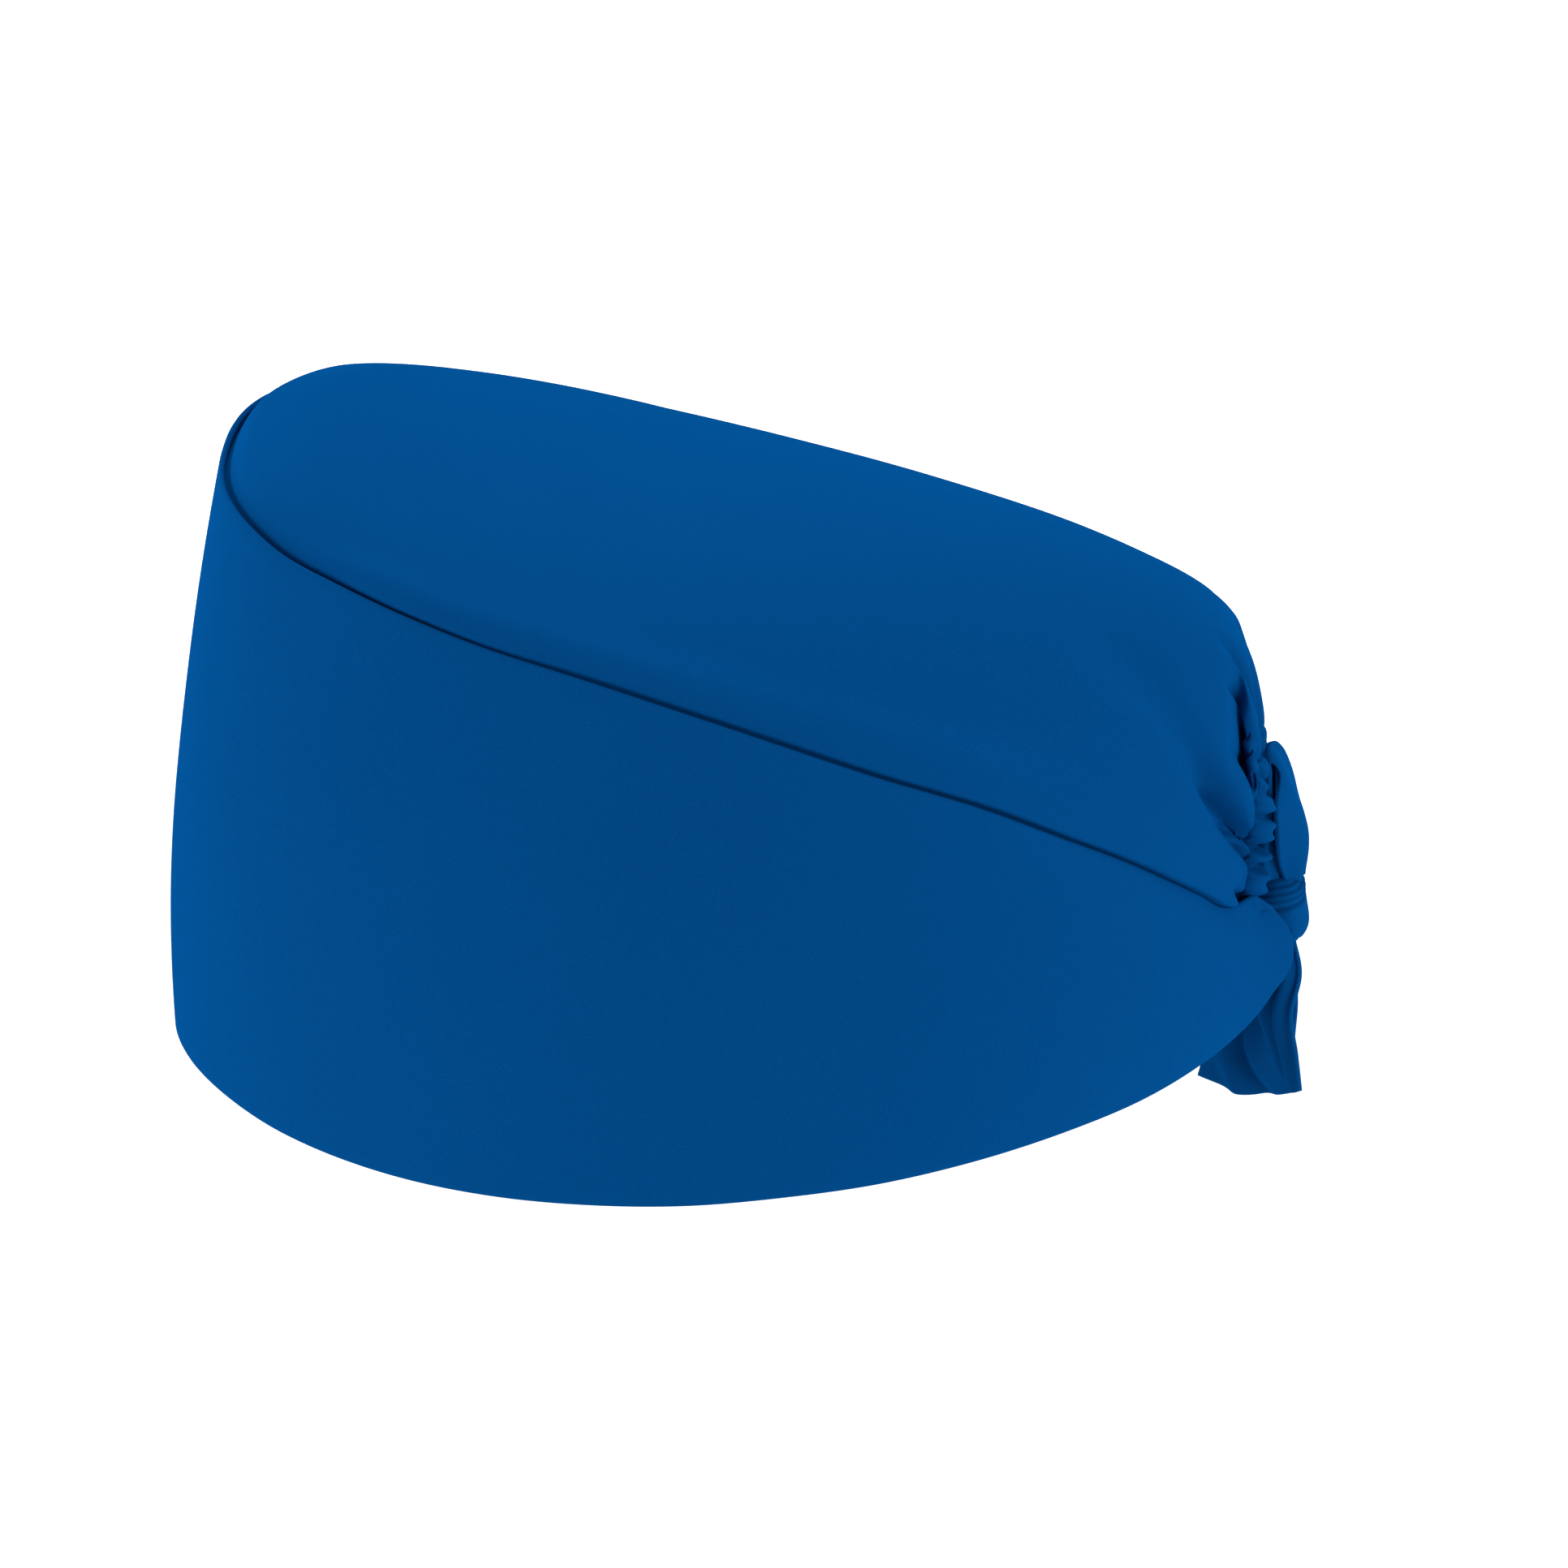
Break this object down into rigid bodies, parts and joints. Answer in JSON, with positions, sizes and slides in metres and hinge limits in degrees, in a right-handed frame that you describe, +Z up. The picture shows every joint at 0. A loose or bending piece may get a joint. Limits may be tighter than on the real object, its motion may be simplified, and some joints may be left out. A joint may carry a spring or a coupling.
{
  "type": "scrub cap",
  "caption": "Cloth scrub cap, worn shape: deep side band, soft crown gathered at the back above a tied bow; open below for the head.",
  "frame": {"origin": "middle of the head opening, level with the sides of the cap's lower edge, where the cap sits on the head", "axes": "+Y to the back, where the bow is; the forehead is at -Y; +X to the wearer's left; +Z up through the crown"},
  "size_m": [0.1594, 0.2143, 0.1361],
  "materials": {
    "band_cloth": "matte woven cotton blend, royal blue",
    "crown_cloth": "matte woven cotton blend, royal blue",
    "gathered_casing_cloth": "matte woven cotton blend, royal blue",
    "knot_cloth": "matte woven cotton blend, royal blue",
    "tie_loop_cloth": "matte woven cotton blend, royal blue",
    "left_tail_cloth": "matte woven cotton blend, royal blue",
    "right_tail_cloth": "matte woven cotton blend, royal blue"
  },
  "bodies": {
    "root": {"band": "band_cloth", "crown": "crown_cloth", "gathered_casing": "gathered_casing_cloth", "knot": "knot_cloth", "tie_loop": "tie_loop_cloth", "left_tail": "left_tail_cloth", "right_tail": "right_tail_cloth"}
  },
  "joints": []
}
